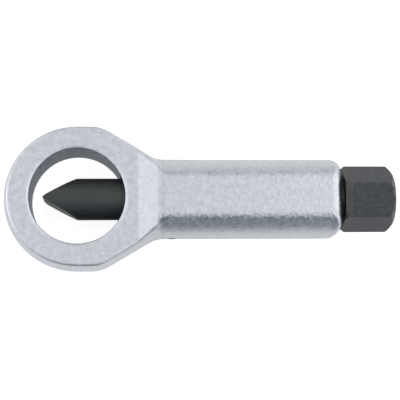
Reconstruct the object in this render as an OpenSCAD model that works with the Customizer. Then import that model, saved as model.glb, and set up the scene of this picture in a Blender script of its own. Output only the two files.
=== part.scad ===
// Nut splitter: a forged ring frame with a solid handle, a chisel that slides in the handle,
// and a threaded spindle that drives it.
// The origin is the centre of the ring. +X runs along the spindle axis to the hexagon,
// +Z is across the thickness of the tool, and the tool is drawn with the chisel well forward.

/* [Ring] */
// Diameter of the hole that goes over the nut
ring_bore_d = 27.5; // [26:0.5:30]
// Wall of the ring beside the hole
ring_wall = 7.3; // [6.5:0.05:8]
// Extra wall at the nose, opposite the chisel
nose_extra = 0.4; // [0:0.1:1]
// Thickness of the ring between its two faces
ring_t = 16; // [15:0.1:17]
// How far the face edge of the ring lies inside its widest line
ring_barrel = 0.95; // [0.7:0.05:1.5]
// Rounding of the edge round both faces of the ring
ring_edge_r = 0.9; // [0.5:0.1:1.2]
// Chamfer at both rims of the hole
bore_chamfer = 0.7; // [0.2:0.1:1]

/* [Neck] */
// Distance from the ring centre to the corner where the ring turns into the neck
neck_start = 6.8; // [6:0.1:9]
// Angle of the neck's sides to the spindle axis
neck_angle = 30.4; // [28:0.1:34]
// Radius of the corner between ring and neck
neck_corner_r = 10; // [6:0.5:12]
// Radius of the hollow between neck and handle
neck_hollow_r = 9; // [6:0.5:12]
// How much steeper the face edge runs in along the slope than along the neck, in degrees
slope_taper = 9.9; // [8:0.1:11]
// Length of the slope that rises from the ring's face to the handle's flat
ramp_len = 6.8; // [5:0.1:8]

/* [Handle] */
// Distance from the ring centre to the handle's end
handle_reach = 76.7; // [70:0.1:84]
// Width of the handle
handle_w = 23.5; // [22:0.1:25]
// Thickness of the handle between its two flats
handle_t = 19; // [18:0.1:20]
// Width of each flat
flat_w = 11.7; // [10:0.1:13]
// Rounding of the edges along each flat
flat_edge_r = 4; // [2:0.1:5]
// How far the end is crowned, seen from above
end_crown = 0.6; // [0.3:0.1:1.5]
// How far the rounding of the handle end's edges reaches back along each flat
end_edge_back = 3; // [2:0.1:3]
// How far that rounding reaches down from each flat
end_edge_down = 3.6; // [3:0.1:6]
// Radius of the handle end's corners, seen from above
end_corner_r = 3.4; // [3.1:0.1:4.5]

/* [Chisel] */
// Diameter of the chisel
chisel_d = 12.2; // [11.5:0.1:12.6]
// Distance from the ring centre forward to the cutting edge
edge_forward = 10; // [8:0.1:11]
// Length of the chisel from its cutting edge to its tail
chisel_len = 48; // [46:0.1:50]
// Half of the wedge angle
wedge_half = 30; // [27:0.5:33]
// Half of the steeper honed angle at the cutting edge
hone_half = 40; // [36:0.5:44]
// Length of the honed stretch
hone_len = 0.9; // [0.5:0.1:1.3]

/* [Spindle] */
// Outer diameter of the thread
thread_d = 14; // [13.6:0.1:15]
// Pitch of the thread
thread_pitch = 1.5; // [1.25:0.25:2]
// Turns of the spindle from the drawn place to fully open
back_turns = 16; // [14:1:16]
// Turns of the spindle from the drawn place to fully closed
forward_turns = 0.25; // [0.1:0.05:0.25]
// Width of the hexagon across its flats
hex_af = 17; // [16.5:0.5:18]
// Length of the hexagon
hex_len = 14.9; // [13:0.1:17]
// Turn of the hexagon about the spindle axis, as drawn
hex_turn = 9; // [0:0.1:60]
// Diameter of the hexagon's end face, inside its chamfer
hex_face_d = 15.8; // [14:0.1:16]
// Angle of that chamfer to the end face
hex_chamfer_angle = 40; // [30:1:45]
// Diameter of the hexagon's inner face, towards the handle
hex_seat_d = 18; // [17.6:0.1:18.4]
// Angle of the chamfer round the inner face
hex_seat_angle = 50; // [30:1:55]
// Gap between the handle's end and the hexagon, as drawn
hex_gap = 0.9; // [0.45:0.05:1.5]

/* [Coupling] */
// Diameter of the spindle's nose, which sits in the chisel's tail
nose_d = 7.1; // [6.8:0.1:7.4]
// Length of the nose
nose_len = 8.2; // [8:0.1:9]
// Depth of the groove round the nose
nose_groove = 1.2; // [1:0.05:1.3]
// Diameter of the two pins that hold the nose
keeper_d = 2; // [1.8:0.1:2.2]
// Diameter of the ball that takes the thrust
ball_d = 5; // [4:0.1:5.5]

/* [Guide pin] */
// Distance from the ring centre to the guide pin
pin_x = 27.2; // [26.5:0.1:29]
// Diameter of the guide pin
pin_d = 2.5; // [2:0.1:3]
// Depth of the guide pin's outer end below the handle's side
pin_recess = 0.8; // [0.5:0.1:1]
// Depth of the chisel's keyway
keyway_depth = 1.5; // [1.2:0.1:1.7]

/* [Hidden] */
$fn = 96;

// Running clearance on a radius
run = 0.04;
// Side clearance of the guide pin in the keyway
keyway_side = 0.1;
// Clearance at the end of a pin or face that must not touch
end_gap = 0.3;
// Press fit, which is drawn this much short of touching
press = 0.005;
// How far a cut runs past the surface that it opens
over = 1;
// Chamfer at the mouth of the threaded bore
mouth_chamfer = 0.75;
// Chamfer at the ends of small pins
pin_chamfer = 0.25;
// Depth of the ball's seats, and length of the undercut behind the thread
seat_depth = 0.9;
undercut_len = 2;
undercut_depth = 1;
// Chamfer of the spindle's front end
thread_chamfer = 0.9;

// Steps of the forging's surface: round the nose, round each corner, round the hollow's widest
// line, up the side, round the edge
NOSE_STEPS = 16;
CORNER_STEPS = 4;
HOLLOW_STEPS = 7;
SIDE_STEPS = 5;
EDGE_STEPS = 4;
// Quarter of a turn
quarter = 90;
// Part of the slope that lies past the neck's end, and how far past it the flat's edge begins
ramp_past_share = 0.15;
hollow_share = 0.05;
// Part of the hollow's radius that its face edge has
hollow_face_share = 0.175;
// Part of the slope's length that is rounded at each of its ends
ramp_soft_share = 0.14;
// Where the neck's points lie between its two corners, on the widest line
neck_shares = [0.24, 0.48, 0.71, 0.755, 0.8];
// Where the points of the face's edge lie between the ring and the slope
before_shares = [0.33, 0.67];
// Where they lie on the slope
slope_shares = [0, ramp_soft_share / 2, ramp_soft_share, 0.6,
    1 - ramp_soft_share, 1 - ramp_soft_share / 2];
// Where the points of the crowned end lie, between its corner and the middle
end_shares = [0.7, 0.35];

ring_r = ring_bore_d / 2 + ring_wall;
half_w = handle_w / 2;
neck_end = neck_start + (ring_r - half_w) / tan(neck_angle);
ramp_end = neck_end + ramp_past_share * ramp_len;
ramp_begin = ramp_end - ramp_len;
waist_x = ramp_end - ramp_soft_share * ramp_len;
hollow_x = ramp_end + hollow_share * ramp_len;
nose_x = -ring_r - nose_extra;

chisel_r = chisel_d / 2;
tail_x = chisel_len - edge_forward;
travel_back = back_turns * thread_pitch;
travel_forward = forward_turns * thread_pitch;
guide_r = chisel_r + run;
thread_r = thread_d / 2;
thread_front = tail_x + end_gap;
bore_step_x = tail_x - travel_forward - end_gap;
hex_x = handle_reach + hex_gap;

nose_r = nose_d / 2;
nose_front = thread_front - nose_len;
ball_r = ball_d / 2;
ball_x = nose_front - ball_r + seat_depth;
socket_bottom = ball_x - ball_r + seat_depth;
keeper_r = keeper_d / 2;
keeper_y = nose_r - nose_groove + keeper_r + run;
keeper_x = (nose_front + tail_x) / 2;
keeper_half = sqrt(pow(chisel_r, 2) - pow(keeper_y + keeper_r, 2));
pin_r = pin_d / 2;
keyway_floor = chisel_r - keyway_depth;

// How far a rounding of radius r reaches along the face, where the side's top lies this far in
function reach(r, inset, height) = r * tan(quarter / 2 - atan(inset / height));
ring_edge_back = reach(ring_edge_r, ring_barrel, ring_t / 2);
flat_edge_back = reach(flat_edge_r, half_w - flat_w / 2, handle_t / 2);

function mix(a, b, share) = a + (b - a) * share;
function unit(v) = v / norm(v);
function ease(share) = let (s = max(0, min(1, share))) s * s * (3 - 2 * s);

// The same turn as an angle, taken the short way round
function short_way(angle) = angle - 4 * quarter * round(angle / (4 * quarter));

// An arc of radius r that rounds corner b between points a and c
function rounded(a, b, c, r, steps) =
    let (
        u = unit(a - b),
        v = unit(c - b),
        half = acos(u * v) / 2,
        middle = b + unit(u + v) * r / sin(half),
        first = b + u * r / tan(half) - middle,
        last = b + v * r / tan(half) - middle,
        from = atan2(first.y, first.x),
        swing = short_way(atan2(last.y, last.x) - from)
    )
    [for (i = [0:steps]) middle + r * [cos(from + swing * i / steps), sin(from + swing * i / steps)]];

// The slope's rise from 0 to 1, straight but for a soft start and end
function rise(share) =
    let (s = max(0, min(1, share)), soft = ramp_soft_share, steep = 1 / (1 - soft))
    s < soft ? steep * s * s / (2 * soft)
    : s > 1 - soft ? 1 - steep * (1 - s) * (1 - s) / (2 * soft)
    : steep * (s - soft / 2);

// Height of the face over the middle plane at a distance along the axis
function face_z(x) = mix(ring_t, handle_t, rise((x - ramp_begin) / ramp_len)) / 2;

// The end's line at a distance from the axis, crowned so that its middle stands out
function end_x(y) = -end_crown * pow(y / half_w, 2);

// Half of the forging's widest line, from the nose to the handle's end
function widest_line() =
    let (
        steps = CORNER_STEPS,
        top = [-nose_extra, ring_r],
        shoulder = [neck_start, ring_r],
        hollow = [neck_end, half_w],
        corner = [handle_reach - end_crown, half_w],
        end_y = half_w - end_corner_r,
        a = rounded(top, shoulder, hollow, neck_corner_r, steps),
        b = rounded(shoulder, hollow, corner, neck_hollow_r, HOLLOW_STEPS),
        c = rounded(hollow, corner, [handle_reach + end_x(end_y), end_y], end_corner_r, steps)
    )
    concat(
        [for (i = [0:NOSE_STEPS]) let (t = quarter * (2 - i / NOSE_STEPS))
            [ring_r * cos(t) - nose_extra, ring_r * sin(t)]],
        a,
        [for (s = neck_shares) mix(a[steps], b[0], s)],
        b,
        c,
        [for (s = end_shares) [handle_reach + end_x(s * end_y), s * end_y]]
    );

// How far the rounding reaches in from the face's edge, at a distance along the axis
function edge_back(x) =
    mix(ring_edge_back, flat_edge_back, ease((x - neck_start) / (ramp_end - neck_start)));

// Distance of the face's edge from the axis along the neck and the slope, or of the level face
// with inner = 1
function neck_face_y(x, inner) =
    let (on_neck = min(x, ramp_begin) - neck_start, on_slope = max(x - ramp_begin, 0))
    ring_r - ring_barrel / cos(neck_angle) - on_neck * tan(neck_angle)
        - on_slope * tan(neck_angle + slope_taper) - inner * edge_back(x);

// Half of the edge round the face, matched point for point to the widest line. With inner = 1
// it is the line inside the rounding, where the level face begins.
function face_line(inner) =
    let (
        steps = CORNER_STEPS,
        r = ring_r - ring_barrel - inner * ring_edge_back,
        level = flat_w / 2 - inner * flat_edge_back,
        back = end_edge_back + inner * flat_edge_back,
        corner_r = end_corner_r - end_edge_back,
        shoulder = [neck_start - ring_barrel * tan(neck_angle / 2), r],
        slope = [ramp_begin, neck_face_y(ramp_begin, inner)],
        waist = [waist_x, neck_face_y(waist_x, inner)],
        hollow = [hollow_x, level],
        end_y = level - corner_r,
        corner = [handle_reach - back + end_x(level), level],
        a = rounded([0, r], shoulder, slope, neck_corner_r - ring_barrel, steps),
        b = rounded(waist, hollow, corner, neck_hollow_r * hollow_face_share, steps),
        c = rounded(hollow, corner, [handle_reach - back + end_x(end_y), end_y], corner_r, steps),
        xs = concat([for (s = before_shares) mix(a[steps].x, ramp_begin, s)],
            [for (s = slope_shares) mix(ramp_begin, ramp_end, s)])
    )
    concat(
        [for (i = [0:NOSE_STEPS]) let (t = quarter * (2 - i / NOSE_STEPS))
            [r * cos(t), r * sin(t)]],
        a,
        [for (x = xs) x <= waist_x
            ? [x, neck_face_y(x, inner)]
            : mix(waist, b[0], (x - waist_x) / (b[0].x - waist_x))],
        b,
        c,
        [for (s = end_shares) [handle_reach - back + end_x(s * end_y), s * end_y]]
    );

// The point at a share of a curve that leaves a for b and arrives at c from b
function bend(a, b, c, share) = mix(mix(a, b, share), mix(b, c, share), share);

// One upright strip of the forging's side, from the middle plane to the level face.
// end_share is 0 on the barrelled sides and 1 on the flat end with its rounded edges.
function side_strip(wide, face, level, end_share) =
    let (
        inset = norm(face - wide),
        h = face_z(face.x),
        barrel_r = (pow(inset, 2) + pow(h, 2)) / (2 * inset),
        lean = asin(h / barrel_r) - asin(norm(level - face) / barrel_r),
        inward = unit(face - wide),
        strip = [for (i = [0:SIDE_STEPS])
            let (
                t = lean * i / SIDE_STEPS,
                q = i == 0 ? 0 : quarter * (i - 1) / (SIDE_STEPS - 1),
                side = [barrel_r * (1 - cos(t)), barrel_r * sin(t)],
                rim = i == 0 ? [0, 0] : [inset * (1 - cos(q)), h - end_edge_down * (1 - sin(q))],
                p = mix(side, rim, end_share)
            )
            [wide.x + inward.x * p.x, wide.y + inward.y * p.x, p.y]],
        edge = [face.x, face.y, h],
        inner = [level.x, level.y, face_z(level.x)]
    )
    concat(strip, [for (i = [1:EDGE_STEPS]) bend(strip[SIDE_STEPS], edge, inner, i / EDGE_STEPS)]);

// The outer form of the forging as one closed surface
module forging() {
    wide = widest_line();
    face = face_line(0);
    level = face_line(1);
    n = len(wide);
    corner_from = n - CORNER_STEPS - 1 - len(end_shares);
    half = [for (i = [0:n - 1])
        side_strip(wide[i], face[i], level[i], max(0, min(1, (i - corner_from) / CORNER_STEPS)))];
    full = concat(half, [for (i = [n - 1:-1:1]) [for (p = half[i]) [p.x, -p.y, p.z]]]);
    levels = len(half[0]);
    rows = 2 * levels - 1;
    stations = len(full);
    points = [for (s = full, j = [levels - 1:-1:-levels + 1])
        let (p = s[abs(j)]) [p.x, p.y, j < 0 ? -p.z : p.z]];
    sides = [for (i = [0:stations - 1], j = [0:rows - 2])
        let (a = i * rows + j, b = (i + 1) % stations * rows + j)
        each [[a, a + 1, b + 1], [a, b + 1, b]]];
    faces = [for (i = [0:n - 2])
        let (
            a = i * rows,
            b = (i + 1) * rows,
            a2 = (stations - i) % stations * rows,
            b2 = (stations - i - 1) * rows,
            low = rows - 1
        )
        each i == 0
            ? [[a, b, b2], [a + low, b2 + low, b + low]]
            : [[a, b, b2], [a, b2, a2], [a + low, b2 + low, b + low], [a + low, a2 + low, b2 + low]]];
    polyhedron(points, concat(sides, faces));
}

// A round bar or bore along the spindle axis
module along_x(from, to, r, r2 = undef) {
    translate([from, 0, 0])
        rotate([0, 90, 0])
            cylinder(h = to - from, r1 = r, r2 = r2 == undef ? r : r2);
}

// The hole over the nut, with both rims broken
module ring_hole() {
    bore_r = ring_bore_d / 2;
    cylinder(h = ring_t + 2 * over, r = bore_r, center = true);
    for (side = [0, 1])
        mirror([0, 0, side])
            translate([0, 0, ring_t / 2 - bore_chamfer])
                cylinder(h = bore_chamfer + over, r1 = bore_r, r2 = bore_r + bore_chamfer + over);
}

// A pin with broken ends that stands along +Z
module straight_pin(d, len) {
    r = d / 2;
    rotate_extrude()
        polygon([[0, 0], [r - pin_chamfer, 0], [r, pin_chamfer], [r, len - pin_chamfer],
            [r - pin_chamfer, len], [0, len]]);
}

module frame() {
    color([0.79, 0.8, 0.82])
        difference() {
            forging();
            ring_hole();
            along_x(0, bore_step_x + over, guide_r);
            along_x(bore_step_x, handle_reach + over, thread_r + run);
            along_x(handle_reach - mouth_chamfer, handle_reach + over,
                thread_r + run, thread_r + run + mouth_chamfer + over);
            translate([pin_x, 0, 0])
                rotate([90, 0, 0])
                    cylinder(h = half_w + over, r = pin_r + press, $fn = 48);
        }
}

module guide_pin() {
    from = keyway_floor + end_gap / 2;
    color([0.45, 0.46, 0.48])
        translate([pin_x, -from, 0])
            rotate([90, 0, 0])
                straight_pin(pin_d, half_w - pin_recess - from, $fn = 48);
}

// The wedge seen from above, as long as the whole chisel
module chisel_outline() {
    hone_y = hone_len * tan(hone_half);
    wedge_x = hone_len + (chisel_r - hone_y) / tan(wedge_half);
    polygon([[0, 0], [hone_len, hone_y], [wedge_x, chisel_r], [chisel_len, chisel_r],
        [chisel_len, -chisel_r], [wedge_x, -chisel_r], [hone_len, -hone_y]]);
}

// The slot that keeps the chisel from turning, long enough for the whole travel
module keyway() {
    r = pin_r + keyway_side;
    first = pin_x - travel_back - keyway_side;
    last = pin_x + travel_forward + keyway_side;
    translate([first, -chisel_r - over, -r])
        cube([last - first, keyway_depth + over, 2 * r]);
    for (x = [first, last])
        translate([x, -keyway_floor, 0])
            rotate([90, 0, 0])
                cylinder(h = keyway_depth + over, r = r, $fn = 48);
}

module chisel() {
    color([0.17, 0.18, 0.2])
        difference() {
            intersection() {
                translate([-edge_forward, 0, 0])
                    linear_extrude(height = chisel_d + 2 * over, center = true)
                        chisel_outline();
                along_x(-edge_forward - over, tail_x + over, chisel_r);
            }
            keyway();
            along_x(socket_bottom, tail_x + over, nose_r + run);
            translate([ball_x, 0, 0])
                sphere(r = ball_r + run);
            for (side = [-1, 1])
                translate([keeper_x, side * keeper_y, 0])
                    cylinder(h = chisel_d + over, r = keeper_r + press, center = true, $fn = 48);
        }
}

// One of the two pins that cross the chisel's tail and ride in the groove of the nose
module keeper_pin(side) {
    color([0.5, 0.51, 0.53])
        translate([keeper_x, side * keeper_y, -keeper_half])
            straight_pin(keeper_d, 2 * keeper_half, $fn = 48);
}

module upper_keeper_pin() {
    keeper_pin(1);
}

module lower_keeper_pin() {
    keeper_pin(-1);
}

module thrust_ball() {
    color([0.7, 0.71, 0.73])
        translate([ball_x, 0, 0])
            sphere(r = ball_r);
}

// The hexagon, turned down at both ends so that its corners are broken
module hexagon() {
    corner_r = hex_af / 2 / cos(30);
    turned_r = corner_r + over;
    intersection() {
        translate([hex_x, 0, 0])
            rotate([hex_turn + 30, 0, 0])
                rotate([0, 90, 0])
                    cylinder(h = hex_len, r = corner_r, $fn = 6);
        translate([hex_x, 0, 0])
            rotate([0, 90, 0])
                rotate_extrude()
                    polygon([
                        [0, 0],
                        [hex_seat_d / 2, 0],
                        [turned_r, (turned_r - hex_seat_d / 2) * tan(hex_seat_angle)],
                        [turned_r, hex_len - (turned_r - hex_face_d / 2) * tan(hex_chamfer_angle)],
                        [hex_face_d / 2, hex_len],
                        [0, hex_len]
                    ]);
    }
}

module spindle() {
    groove_half = keeper_r + run;
    color([0.2, 0.21, 0.23])
        difference() {
            union() {
                along_x(nose_front, thread_front + over, nose_r);
                along_x(thread_front, thread_front + thread_chamfer,
                    thread_r - thread_chamfer, thread_r);
                along_x(thread_front + thread_chamfer, hex_x - undercut_len, thread_r);
                along_x(hex_x - undercut_len - over, hex_x + over, thread_r - undercut_depth);
                hexagon();
            }
            translate([keeper_x, 0, 0])
                rotate([0, 90, 0])
                    difference() {
                        cylinder(h = 2 * groove_half, r = nose_r + over, center = true);
                        cylinder(h = 2 * groove_half + over, r = nose_r - nose_groove, center = true);
                    }
            translate([ball_x, 0, 0])
                sphere(r = ball_r + run);
        }
}

frame();
guide_pin();
chisel();
upper_keeper_pin();
lower_keeper_pin();
thrust_ball();
spindle();
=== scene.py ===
import math

import bmesh
import bpy
from mathutils import Matrix, Vector


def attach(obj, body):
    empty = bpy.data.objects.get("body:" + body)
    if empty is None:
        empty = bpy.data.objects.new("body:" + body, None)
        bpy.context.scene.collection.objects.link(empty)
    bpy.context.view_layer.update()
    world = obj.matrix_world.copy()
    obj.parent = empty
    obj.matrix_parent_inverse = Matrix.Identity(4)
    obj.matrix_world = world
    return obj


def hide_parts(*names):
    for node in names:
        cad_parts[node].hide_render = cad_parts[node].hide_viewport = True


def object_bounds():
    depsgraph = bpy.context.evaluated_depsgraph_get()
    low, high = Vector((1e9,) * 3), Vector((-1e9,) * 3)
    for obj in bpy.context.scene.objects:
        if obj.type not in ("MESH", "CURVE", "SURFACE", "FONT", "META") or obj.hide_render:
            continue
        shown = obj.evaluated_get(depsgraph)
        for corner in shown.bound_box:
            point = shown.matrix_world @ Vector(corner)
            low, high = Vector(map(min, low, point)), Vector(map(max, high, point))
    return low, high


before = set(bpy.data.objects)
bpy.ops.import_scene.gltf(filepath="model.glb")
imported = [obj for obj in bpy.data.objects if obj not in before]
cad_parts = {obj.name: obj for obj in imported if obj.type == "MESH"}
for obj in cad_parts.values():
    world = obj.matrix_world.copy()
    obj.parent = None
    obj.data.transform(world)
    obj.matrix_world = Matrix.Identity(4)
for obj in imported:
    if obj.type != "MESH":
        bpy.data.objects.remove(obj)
solid_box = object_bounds()

# Camera: a long lens close above the tool, a little below its middle line, so that the upper
# part of the hole's wall shows and the handle's lower side is seen a bit more than its upper one.
camera_at = Vector((0.0117, -0.0471, 0.329))
camera_aim = Vector((0.03574, -0.00018, 0))
camera_roll = math.radians(-0.64)
camera = bpy.data.objects.new("camera", bpy.data.cameras.new("camera"))
bpy.context.scene.collection.objects.link(camera)
sight = (camera_aim - camera_at).normalized()
across = sight.cross(Vector((0, 1, 0))).normalized()
facing = Matrix((across, across.cross(sight), -sight)).transposed().to_4x4()
camera.matrix_world = (Matrix.Translation(camera_at) @ facing
                       @ Matrix.Rotation(camera_roll, 4, "Z"))
camera.data.sensor_width = 36
camera.data.lens = 101.88
camera.data.clip_start = 0.01
bpy.context.scene.camera = camera


# Studio light: a white tent all round the tool, lit evenly, a little more from the hexagon's
# side. Its front is open, so the sides of the tool that face that way reflect the dark room.
def add_node(tree, kind, inputs=(), **settings):
    """Adds a node with its settings, and gives each input a plain value or a node's output."""
    node = tree.nodes.new(kind)
    for name, value in settings.items():
        setattr(node, name, value)
    for socket, value in inputs:
        if isinstance(value, bpy.types.NodeSocket):
            tree.links.new(value, node.inputs[socket])
        else:
            node.inputs[socket].default_value = value
    return node


def calc(tree, operation, *values):
    """One step of arithmetic on numbers and outputs."""
    return add_node(tree, "ShaderNodeMath", enumerate(values), operation=operation).outputs[0]


def vector_calc(tree, operation, *values):
    """The same on points, which gives a number or a point."""
    node = add_node(tree, "ShaderNodeVectorMath", enumerate(values), operation=operation)
    gives_number = operation in ("LENGTH", "DISTANCE", "DOT_PRODUCT")
    return node.outputs["Value" if gives_number else "Vector"]


def ramp(tree, value, start, end, low=0.0, high=1.0, kind="LINEAR"):
    """Goes from low to high while the value goes from start to end, and stays there."""
    ends = ((1, start), (2, end), (3, low), (4, high))
    return add_node(tree, "ShaderNodeMapRange", ((0, value), *ends),
                    interpolation_type=kind).outputs[0]


def blend(tree, share, first, second, kind="MIX"):
    """The first colour, turned into the second by the share."""
    return add_node(tree, "ShaderNodeMix", ((0, share), (6, first), (7, second)),
                    data_type="RGBA", blend_type=kind).outputs[2]


def softbox(name, at, watts):
    lamp = bpy.data.lights.new(name, "AREA")
    lamp.shape = "RECTANGLE"
    lamp.size = 0.3
    lamp.size_y = 0.25
    lamp.energy = watts
    box = bpy.data.objects.new(name, lamp)
    bpy.context.scene.collection.objects.link(box)
    box.location = at
    box.rotation_euler = (camera_aim - Vector(at)).to_track_quat("-Z", "Y").to_euler()
    box.visible_camera = False


softbox("softbox_left", (-0.5, 0.02, 0.1), 0.3)
softbox("softbox_right", (0.55, 0.0, 0.16), 0.2)

tent = bpy.data.worlds.new("tent")
tent.use_nodes = True
tree = tent.node_tree
direction = add_node(tree, "ShaderNodeTexCoord").outputs["Generated"]
to_x, to_y, _ = add_node(tree, "ShaderNodeSeparateXYZ", ((0, direction),)).outputs
# the open front, tilted up a little
opening_tilt = math.radians(15)
out_of_front = (0, -math.cos(opening_tilt), math.sin(opening_tilt))
opening = ramp(tree, vector_calc(tree, "DOT_PRODUCT", direction, out_of_front),
               0.3, 1.0, 1.0, 0.29, "SMOOTHSTEP")
# the walls, as (how far towards +x, how bright): dimmest overhead, brightest half-way down
# towards the hexagon. The colour ramp ends at 1, so it holds the levels as shares of the top one.
wall_levels = ((-1, 1.22), (-0.45, 1.65), (-0.2, 1.1), (0, 0.86), (0.1, 0.9), (0.25, 1.35),
               (0.45, 1.9), (0.7, 1.4), (1, 1.13))
top_level = 2.0
end_light = add_node(tree, "ShaderNodeValToRGB", ((0, ramp(tree, to_x, -1, 1)),))
end_light.color_ramp.interpolation = "B_SPLINE"
stops = end_light.color_ramp.elements
for _ in wall_levels[2:]:
    stops.new(1)
for number, (towards, level) in enumerate(wall_levels):
    share = level / top_level
    stops[number].position = (towards + 1) / 2
    stops[number].color = (share, share, share, 1)
back_wall = ramp(tree, to_y, 0.3, 0.9, 1.0, 0.72, "SMOOTHSTEP")
walls = calc(tree, "MULTIPLY", end_light.outputs[0], back_wall)
tent_level = calc(tree, "MULTIPLY", calc(tree, "MULTIPLY", walls, opening), top_level)
# the walls' light is a little blue, the dark room's more so; the camera itself sees plain white
room_blue, tent_blue, white = (0.8, 0.93, 1.08, 1), (0.95, 0.975, 1.0, 1), (1, 1, 1, 1)
seen_directly = add_node(tree, "ShaderNodeLightPath").outputs["Is Camera Ray"]
strength = add_node(tree, "ShaderNodeMix", ((0, seen_directly), (2, tent_level), (3, 1.0)))
colour = blend(tree, seen_directly, blend(tree, opening, room_blue, tent_blue), white)
tree.links.new(colour, tree.nodes["Background"].inputs["Color"])
tree.links.new(strength.outputs[0], tree.nodes["Background"].inputs["Strength"])
bpy.context.scene.world = tent
bpy.context.scene.view_settings.view_transform = "Standard"


# Paper: the seamless white sheet that the tool lies on. Its own colour is a pale grey. It only
# looks white to the camera, and in reflections except towards the open front, and it keeps the
# tool's soft shadow.
def object_place(tree):
    """The point on the piece, whole and as its x, y and z."""
    place = add_node(tree, "ShaderNodeTexCoord").outputs["Object"]
    return place, *add_node(tree, "ShaderNodeSeparateXYZ", ((0, place),)).outputs


paper_mesh = bpy.data.meshes.new("paper")
shape = bmesh.new()
bmesh.ops.create_grid(shape, x_segments=1, y_segments=1, size=4,
                      matrix=Matrix.Translation((0, 0, solid_box[0].z)))
shape.to_mesh(paper_mesh)
shape.free()
paper = bpy.data.objects.new("paper", paper_mesh)
bpy.context.scene.collection.objects.link(paper)
paper_white = bpy.data.materials.new("paper_white")
paper_white.use_nodes = True
tree = paper_white.node_tree
shader = tree.nodes["Principled BSDF"]
shader.inputs["Base Color"].default_value = (0.5, 0.5, 0.5, 1)
shader.inputs["Roughness"].default_value = 0.9
shader.inputs["Emission Color"].default_value = (1, 1, 1, 1)
camera_glow = 0.87
light_path = add_node(tree, "ShaderNodeLightPath").outputs
place, _, y, _ = object_place(tree)
near_front = ramp(tree, y, -0.09, -0.03, 0.0, 0.5)
# the paper's glow in reflections is dimmed under the ring, as painted shade
ring_painted_shade = ramp(tree, vector_calc(tree, "LENGTH", place), 0.014, 0.024, 0.65, 1.0)
mirrored = calc(tree, "MULTIPLY", light_path["Is Glossy Ray"],
                calc(tree, "MULTIPLY", ring_painted_shade, near_front))
glow = calc(tree, "MULTIPLY_ADD", light_path["Is Camera Ray"], camera_glow, mirrored)
tree.links.new(glow, shader.inputs["Emission Strength"])
paper_mesh.materials.append(paper_white)


# Forging: ring, neck and handle are one drop-forged steel piece. It is trimmed along its middle,
# blasted, bored, and plated to a pale satin grey; its hole's wall is painted darker as painted
# shade.
def merged_copy(node):
    """A copy of a CAD solid's mesh with its loose triangles joined into one closed skin."""
    shape = bmesh.new()
    shape.from_mesh(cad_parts[node].data)
    bmesh.ops.remove_doubles(shape, verts=shape.verts, dist=1e-6)
    bmesh.ops.dissolve_limit(shape, angle_limit=math.radians(0.2), verts=shape.verts,
                             edges=shape.edges)
    return shape


def finish_piece(shape, name, material, body, slot, sharp_above, *nodes):
    """Makes the piece's object: smooth but for its sharp edges, on its body, for its CAD nodes."""
    for face in shape.faces:
        face.smooth = True
    for edge in shape.edges:
        edge.smooth = edge.is_manifold and edge.calc_face_angle() < math.radians(sharp_above)
    mesh = bpy.data.meshes.new(name)
    shape.to_mesh(mesh)
    shape.free()
    mesh.materials.append(material)
    piece = bpy.data.objects.new(name, mesh)
    bpy.context.scene.collection.objects.link(piece)
    weighted = piece.modifiers.new("weighted_normals", "WEIGHTED_NORMAL")
    weighted.keep_sharp = True
    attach(piece, body)
    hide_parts(*nodes)
    return piece


def metal(name, metallic, roughness=0.5):
    made = bpy.data.materials.new(name)
    made.use_nodes = True
    shader = made.node_tree.nodes["Principled BSDF"]
    shader.inputs["Metallic"].default_value = metallic
    shader.inputs["Roughness"].default_value = roughness
    return made, made.node_tree, shader


def bumped(tree, height, strength, distance, *under):
    """A surface's normal, raised by the height, over another normal if there is one."""
    inputs = [("Height", height), ("Strength", strength), ("Distance", distance)]
    return add_node(tree, "ShaderNodeBump",
                    inputs + [("Normal", normal) for normal in under]).outputs[0]


# The grain that all the metal but the chisel's shares, as (name, scale, detail, roughness): soft
# cloudy blotches a millimetre or two across, a fine blasted pitting, and shallow dents.
grains = (("Blotch", 620, 5, 0.62), ("Pit", 2300, 3, 0.6), ("Dent", 950, 2.5, 0.55))
grain = bpy.data.node_groups.new("metal_grain", "ShaderNodeTree")
for name, *_ in grains:
    grain.interface.new_socket(name, in_out="OUTPUT", socket_type="NodeSocketFloat")
place = add_node(grain, "ShaderNodeTexCoord").outputs["Object"]
shades = []
for name, scale, detail, roughness in grains:
    noise = add_node(grain, "ShaderNodeTexNoise", (("Vector", place), ("Scale", scale),
                                                   ("Detail", detail), ("Roughness", roughness)))
    shades.append((name, ramp(grain, noise.outputs["Fac"], 0.33, 0.67)))
add_node(grain, "NodeGroupOutput", shades)

plating, tree, shader = metal("satin_plating", 1.0)
surface = add_node(tree, "ShaderNodeGroup", node_tree=grain).outputs
place, x, y, _ = object_place(tree)
# blasted plating: two greys in cloudy blotches, then the fine pitting over them
cloud = blend(tree, surface["Blotch"], (0.5, 0.508, 0.535, 1), (0.603, 0.607, 0.63, 1))
speck = ramp(tree, surface["Pit"], 0, 1, 0.93, 1.04)
colour = blend(tree, 1.0, cloud, speck, "MULTIPLY")
# the hole's bored wall, just inside the rim's roll, painted a dark bluish grey as painted shade
from_axis = add_node(tree, "ShaderNodeCombineXYZ", ((0, x), (1, y))).outputs[0]
hole_painted_shade = ramp(tree, vector_calc(tree, "LENGTH", from_axis), 0.01384, 0.01392, 1, 0)
colour = blend(tree, hole_painted_shade, colour, (0.1, 0.13, 0.165, 1))
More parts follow.
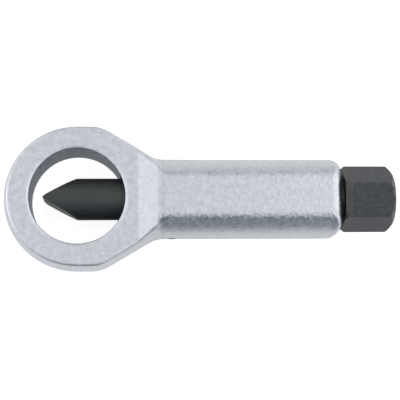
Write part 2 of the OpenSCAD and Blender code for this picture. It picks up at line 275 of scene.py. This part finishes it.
# painted shade in grey patches: in the crease at the top of the slope and its corners, and along
# the handle's long edges, more on the lower side
crease_x = 0.0246
slope_corner = (0.0239, 0.0072, 0.0088)
folded = vector_calc(tree, "ABSOLUTE", place)
from_middle = calc(tree, "ABSOLUTE", y)
off_crease = calc(tree, "ABSOLUTE", calc(tree, "SUBTRACT", x, crease_x))
in_crease = ramp(tree, off_crease, 0.0001, 0.0006, 0.45, 0.0)
past_slope = ramp(tree, x, 0.0225, 0.0245)
to_edge = ramp(tree, from_middle, 0.0043, 0.0062)
off_edge = ramp(tree, from_middle, 0.0066, 0.0078, 1.0, 0.0)
handle_edge_band = calc(tree, "MULTIPLY", calc(tree, "MULTIPLY", to_edge, past_slope), off_edge)
lower_side = ramp(tree, y, -0.001, 0.001, 1.0, 0.25)
in_edge = calc(tree, "MULTIPLY", handle_edge_band, lower_side)
deep = ramp(tree, surface["Dent"], 0.35, 0.65, 0.0, 0.5)
patchy = calc(tree, "MULTIPLY", calc(tree, "MAXIMUM", in_crease, in_edge), deep)
off_corner = vector_calc(tree, "DISTANCE", folded, slope_corner)
in_corner = calc(tree, "MULTIPLY", ramp(tree, off_corner, 0.0005, 0.0016, 0.65, 0.0), lower_side)
painted_shade = calc(tree, "MAXIMUM", patchy, in_corner)
colour = blend(tree, painted_shade, colour, (0.2, 0.215, 0.24, 1))
# painted shade round the guide pin's hole, a little longer across the handle's thickness
pin_at = (0.0272, -0.0116, 0.0)
flattened = vector_calc(tree, "MULTIPLY", place, (1, 1, 0.6))
pin_painted_shade = ramp(tree, vector_calc(tree, "DISTANCE", flattened, pin_at), 0.0007, 0.00105, 0.75, 0.0)
colour = blend(tree, pin_painted_shade, colour, (0.05, 0.052, 0.056, 1))
tree.links.new(colour, shader.inputs["Base Color"])
tree.links.new(ramp(tree, surface["Blotch"], 0, 1, 0.28, 0.4), shader.inputs["Roughness"])
# the forged skin is a little uneven under the pitting, most of all along the handle's edges
dent_depth = calc(tree, "MULTIPLY", calc(tree, "ADD", in_edge, 1.0), surface["Dent"])
uneven = bumped(tree, dent_depth, 1.0, 0.00004)
tree.links.new(bumped(tree, surface["Pit"], 1.0, 0.000006, uneven), shader.inputs["Normal"])

# The hole's rims are worn to a soft roll: narrow loops are cut across the CAD's flat chamfer
# and laid on the roll's curve, as (radius, drop below the ring's face), from the wall outwards.
bore_r, chamfer_r, ring_half = 0.01375, 0.01445, 0.008
chamfer = chamfer_r - bore_r
on_surface = 2e-5
roll = ((0.01375, 0.00038), (0.01386, 0.00028), (0.01401, 0.00019), (0.01421, 0.00012),
        (0.01446, 0.00006), (0.01475, 0.00002), (0.01512, 0.0))
skin = merged_copy("frame")
on_wall = {v for v in skin.verts
           if abs(v.co.xy.length - bore_r) < on_surface and 0.0072 < abs(v.co.z) < 0.0074}
on_face = {v for v in skin.verts
           if abs(v.co.xy.length - chamfer_r) < on_surface and abs(v.co.z) > 0.0079}
slants = [e for e in skin.edges if all(v in on_wall | on_face for v in e.verts)
          and (e.verts[0] in on_wall) != (e.verts[1] in on_wall)]
bmesh.ops.subdivide_edges(skin, edges=slants, cuts=len(roll) - 2, use_grid_fill=True)
for v in skin.verts:
    share = (v.co.xy.length - bore_r) / chamfer
    off_chamfer = abs(v.co.z) - ring_half + (1 - share) * chamfer
    if -0.03 < share < 1.03 and abs(off_chamfer) < on_surface:
        r, drop = roll[round(share * (len(roll) - 1))]
        v.co.xy *= r / v.co.xy.length
        v.co.z = math.copysign(ring_half - drop, v.co.z)
forging = finish_piece(skin, "forging", plating, "frame", "plated_forging", 38, "frame")
# the rounding of the handle's end runs smoothly round its corners
end_from_x, end_from_r = 0.0725, 0.0085
for edge in forging.data.edges:
    ends = [forging.data.vertices[i].co for i in edge.vertices]
    if min(e.x for e in ends) > end_from_x and min(e.yz.length for e in ends) > end_from_r:
        edge.use_edge_sharp = False


# Guide pin: a short hardened pin, pressed through the handle's lower side into the chisel's
# keyway. Its ground end sits just below the surface and shows as a small dark disc.
def plain_metal(name, metallic, roughness, darker, paler):
    """A metal whose only mark is a faint cloudiness between two tones."""
    made, tree, shader = metal(name, metallic, roughness)
    surface = add_node(tree, "ShaderNodeGroup", node_tree=grain).outputs
    tree.links.new(blend(tree, surface["Blotch"], darker, paler), shader.inputs["Base Color"])
    return made


def dress(node, material):
    """Gives a CAD node that shows as it is its material."""
    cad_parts[node].data.materials.clear()
    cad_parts[node].data.materials.append(material)


pin_steel = plain_metal("pin_steel", 0.9, 0.45, (0.03, 0.031, 0.034, 1), (0.06, 0.062, 0.066, 1))
dress("guide_pin", pin_steel)

# Keeper pins: two hardened cross pins of the same steel, pressed into the chisel's tail. They ride
# in the groove of the spindle's nose and draw the chisel back, out of sight inside the handle.
dress("upper_keeper_pin", pin_steel)
dress("lower_keeper_pin", pin_steel)

# Thrust ball: a hardened and polished bearing ball between the spindle's nose and the chisel's
# back. It is out of sight inside the handle.
ball_steel = plain_metal("ball_steel", 1.0, 0.12, (0.5, 0.5, 0.51, 1), (0.58, 0.58, 0.59, 1))
dress("thrust_ball", ball_steel)

# Chisel: a round bar of tool steel with a two-sided wedge, drawn, ground and blackened. The
# drawing left faint streaks along the bar, and the wedge's facets are ground paler.
tool_black, tree, shader = metal("ground_black", 0.5, 0.5)
place, x, y, z = object_place(tree)
drawn = add_node(tree, "ShaderNodeMapping", (("Vector", place), ("Scale", (0.12, 1, 1))))
streaks = add_node(tree, "ShaderNodeTexNoise", (("Vector", drawn.outputs[0]), ("Scale", 900),
                                                ("Detail", 3))).outputs["Fac"]
colour = blend(tree, streaks, (0.026, 0.031, 0.033, 1), (0.058, 0.057, 0.056, 1))
# the wedge's facets lie inside the round bar
from_axis = add_node(tree, "ShaderNodeCombineXYZ", ((1, y), (2, z))).outputs[0]
on_facet = ramp(tree, vector_calc(tree, "LENGTH", from_axis), 0.00602, 0.00607, 1, 0)
ground = calc(tree, "MULTIPLY", on_facet, ramp(tree, x, 0.0, 0.0005, 1, 0))
colour = blend(tree, ground, colour, (0.25, 0.255, 0.26, 1))
tree.links.new(colour, shader.inputs["Base Color"])
tree.links.new(bumped(tree, streaks, 0.12, 0.00002), shader.inputs["Normal"])
finish_piece(merged_copy("chisel"), "chisel_bar", tool_black, "chisel", "blackened_chisel", 20,
             "chisel")

# Spindle: a turned steel screw, M14 with a 1.5 mm pitch, with a hexagon for the wrench at one
# end and a grooved nose at the other. The thread is rolled, the whole part blackened.
pitch = 0.0015
thread_from, thread_to = 0.03835, 0.07555
crest_r, root_r, lead_in_r = 0.00699, 0.00608, 0.0061
steps_a_turn = 48
turns = 27
# the CAD's plain cylinder is cut out between two planes
core = merged_copy("spindle")
for at_x, normal in ((thread_from, 1), (thread_to, -1)):
    bmesh.ops.bisect_plane(core, geom=core.verts[:] + core.edges[:] + core.faces[:], dist=1e-7,
                           plane_co=(at_x, 0, 0), plane_no=(normal, 0, 0))
middle = [f for f in core.faces if thread_from < f.calc_center_median().x < thread_to]
bmesh.ops.delete(core, geom=middle, context="FACES_ONLY")
loose = [e for e in core.edges if not e.link_faces]
bmesh.ops.delete(core, geom=loose, context="EDGES")

# one turn's profile, as (along the axis, radius), is wound into a helix that starts a turn early
thread = bmesh.new()
outline = ((0, root_r), (0.00014, root_r), (0.00067, crest_r), (0.00083, crest_r),
           (0.00136, root_r), (pitch, root_r))
profile = [thread.verts.new((thread_from - pitch + along, 0, r)) for along, r in outline]
profile += [thread.edges.new(pair) for pair in zip(profile, profile[1:])]
bmesh.ops.spin(thread, geom=profile, cent=(0, 0, 0), axis=(1, 0, 0), angle=math.tau * turns,
               dvec=(pitch / steps_a_turn, 0, 0), steps=steps_a_turn * turns, use_merge=False)
bmesh.ops.remove_doubles(thread, verts=thread.verts, dist=1e-6)
for at_x, side in ((thread_from, -1), (thread_to, 1)):
    bmesh.ops.bisect_plane(thread, geom=thread.verts[:] + thread.edges[:] + thread.faces[:],
                           dist=1e-7, plane_co=(at_x, 0, 0), plane_no=(side, 0, 0),
                           clear_outer=True)
# the thread's start is turned down to a cone
for vert in thread.verts:
    cone_r = lead_in_r + vert.co.x - thread_from
    r = math.hypot(vert.co.y, vert.co.z)
    if r > cone_r:
        vert.co.y *= cone_r / r
        vert.co.z *= cone_r / r
thread_mesh = bpy.data.meshes.new("thread")
thread.to_mesh(thread_mesh)
thread.free()
core.from_mesh(thread_mesh)
# a flat ring of faces joins each end of the thread to the turned part around it
for at_x in (thread_from, thread_to):
    rims = [e for e in core.edges
            if e.is_boundary and all(abs(v.co.x - at_x) < 1e-6 for v in e.verts)]
    bmesh.ops.triangle_fill(core, edges=rims, normal=(1, 0, 0), use_beauty=True)
bmesh.ops.recalc_face_normals(core, faces=core.faces)

# the hexagon's long edges are broken a little
hexagon_from, ridge_least_len, ridge_least_angle = 0.0774, 0.008, 0.9
ridges = [e for e in core.edges
          if e.is_manifold and min(v.co.x for v in e.verts) > hexagon_from
          and abs(e.verts[0].co.x - e.verts[1].co.x) > ridge_least_len
          and e.calc_face_angle() > ridge_least_angle]
bmesh.ops.bevel(core, geom=ridges, offset=0.00014, offset_type="OFFSET", segments=2, profile=0.5,
                affect="EDGES", clamp_overlap=True, material=-1)

spindle_black, tree, shader = metal("turned_black", 0.55, 0.42)
surface = add_node(tree, "ShaderNodeGroup", node_tree=grain).outputs
place, x, y, z = object_place(tree)
colour = blend(tree, surface["Blotch"], (0.034, 0.038, 0.045, 1), (0.062, 0.061, 0.062, 1))
# a brown tint, the oxide's own colour, runs round the hexagon's inner end, painted a little paler
# as painted light where it faces the light; a pale line beside it is partly worn oxide and partly
# a painted highlight on the chamfer's edge
hexagon_starts, pale_line_x = 0.07763, 0.0793
brown_and_light = calc(tree, "MULTIPLY", ramp(tree, x, 0.0784, 0.0788, 0.7, 0),
             calc(tree, "GREATER_THAN", x, hexagon_starts))
colour = blend(tree, brown_and_light, colour, (0.074, 0.064, 0.052, 1))
off_line = calc(tree, "ABSOLUTE", calc(tree, "SUBTRACT", x, pale_line_x))
wear_and_highlight = calc(tree, "MULTIPLY", ramp(tree, off_line, 0.00008, 0.0002, 0.45, 0), surface["Dent"])
colour = blend(tree, wear_and_highlight, colour, (0.16, 0.16, 0.165, 1))
# the collar's face behind the hexagon is painted dark blue as painted shade, and the outer chamfer
# is rubbed to a warm grey
collar_x = 0.0776
collar_painted_shade = calc(tree, "COMPARE", x, collar_x, 0.00003)
colour = blend(tree, collar_painted_shade, colour, (0.018, 0.036, 0.054, 1))
chamfer_slope = 0.839
from_axis = add_node(tree, "ShaderNodeCombineXYZ", ((1, y), (2, z))).outputs[0]
tapered = calc(tree, "MULTIPLY_ADD", vector_calc(tree, "LENGTH", from_axis), chamfer_slope, x)
rubbed = calc(tree, "MULTIPLY", ramp(tree, tapered, 0.09895, 0.0991, 0.0, 0.5),
              surface["Blotch"])
colour = blend(tree, rubbed, colour, (0.2, 0.17, 0.15, 1))
tree.links.new(colour, shader.inputs["Base Color"])
tree.links.new(bumped(tree, surface["Pit"], 0.2, 0.00003), shader.inputs["Normal"])
finish_piece(core, "screw_spindle", spindle_black, "spindle", "blackened_spindle", 24, "spindle")
